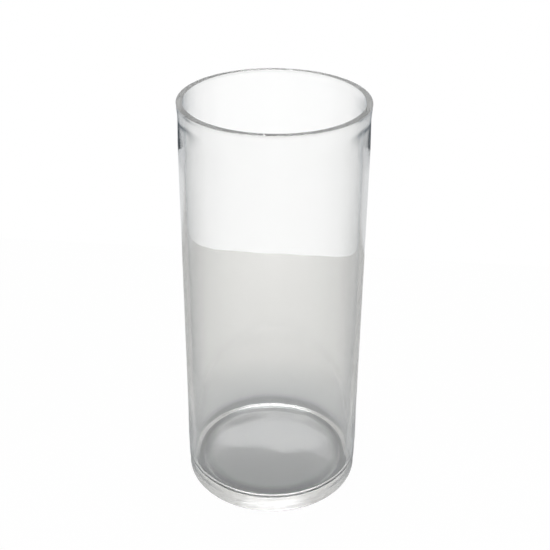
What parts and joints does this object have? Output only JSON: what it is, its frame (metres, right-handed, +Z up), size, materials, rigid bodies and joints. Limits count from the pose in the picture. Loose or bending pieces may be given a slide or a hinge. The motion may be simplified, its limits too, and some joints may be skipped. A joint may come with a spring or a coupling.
{
  "type": "glass cylinder vase",
  "caption": "Tall straight-sided clear glass vase with an open mouth, a flat fire-polished lip and a thick fused base.",
  "frame": {"origin": "centre of the plane that the foot rests on", "axes": "+Z up along the vase's axis to the mouth; the vase is round, so +X and +Y are free, and +Y points away from the usual viewer"},
  "size_m": [0.13, 0.13, 0.3],
  "materials": {
    "clear_glass": "fire-polished clear soda-lime glass"
  },
  "bodies": {
    "root": {"glass_cylinder": "clear_glass", "glass_base": "clear_glass"}
  },
  "joints": []
}
